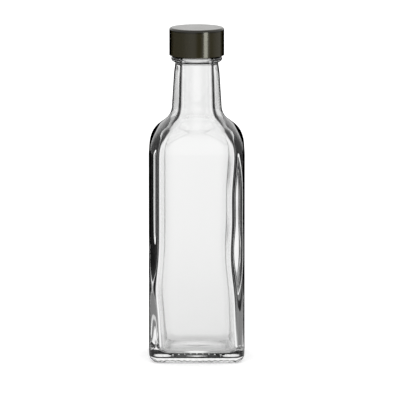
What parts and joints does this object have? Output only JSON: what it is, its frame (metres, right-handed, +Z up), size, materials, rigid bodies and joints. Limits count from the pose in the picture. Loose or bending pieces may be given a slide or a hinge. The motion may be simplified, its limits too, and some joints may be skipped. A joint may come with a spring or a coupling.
{
  "type": "glass liqueur bottle with screw cap",
  "caption": "Empty square clear-glass miniature bottle with rounded shoulders, a round tapered neck, a bead and a smooth dark screw cap.",
  "frame": {"origin": "middle of the foot the bottle stands on, at the bottom of its box", "axes": "+Z up along the neck, +X to the right across the front face, -Y out of the front face"},
  "size_m": [0.0316, 0.0316, 0.1099],
  "materials": {
    "glass": "clear flint glass, fire-polished outside",
    "cap_plastic": "gloss, very dark olive"
  },
  "bodies": {
    "root": {"bottle": "glass", "cap": "cap_plastic"}
  },
  "joints": []
}
